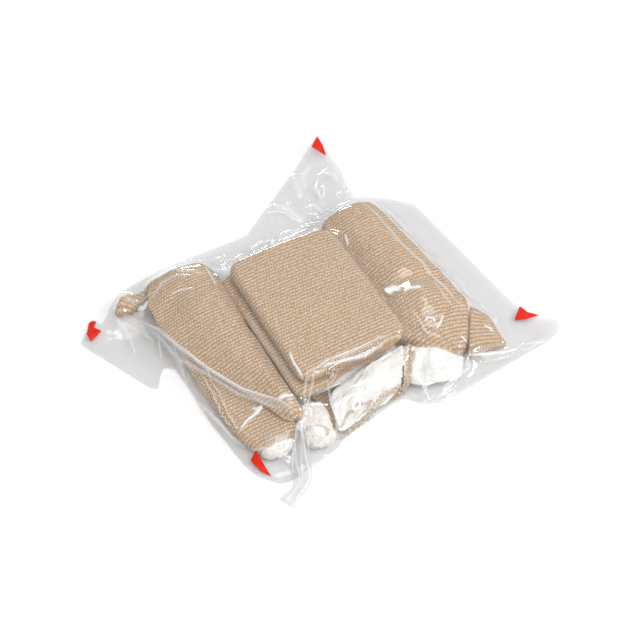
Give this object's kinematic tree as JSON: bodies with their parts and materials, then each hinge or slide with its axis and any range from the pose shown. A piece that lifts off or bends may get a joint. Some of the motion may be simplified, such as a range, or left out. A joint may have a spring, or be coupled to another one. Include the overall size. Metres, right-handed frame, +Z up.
{
  "type": "emergency trauma bandage in clear vacuum pouch",
  "caption": "Flat trauma dressing: a folded elastic wrap around a white absorbent pad, drawn down tightly in a clear vacuum pouch with red tear marks on its corners.",
  "frame": {"origin": "middle of the pouch's own box, on the surface that it lies on", "axes": "+X and +Y along the pouch's sides, +Z up out of the surface that it lies on"},
  "size_m": [0.1814, 0.1742, 0.0258],
  "materials": {
    "knit": "coarse elastic knit, matt",
    "gauze": "soft absorbent pad, matt",
    "film": "clear glossy film",
    "red_print": "printed red, glossy"
  },
  "bodies": {
    "root": {"wrap_block": "knit", "wrap_left_under_fold": "knit", "wrap_left_fold": "knit", "wrap_right_fold": "knit", "wrap_right_flap": "knit", "wrap_base_layer": "knit", "wrap_divider_edge": "knit", "wrap_twisted_tail": "knit", "absorbent_pad": "gauze", "pad_left_lobe": "gauze", "pad_right_lobe": "gauze", "pad_rolled_corner": "gauze", "pouch_lower_film": "film", "pouch_upper_film": "film", "pouch_rolled_tip": "film", "tear_mark_front_left": "red_print", "tear_mark_front_right": "red_print", "tear_mark_back_left": "red_print", "tear_mark_back_right": "red_print"}
  },
  "joints": []
}
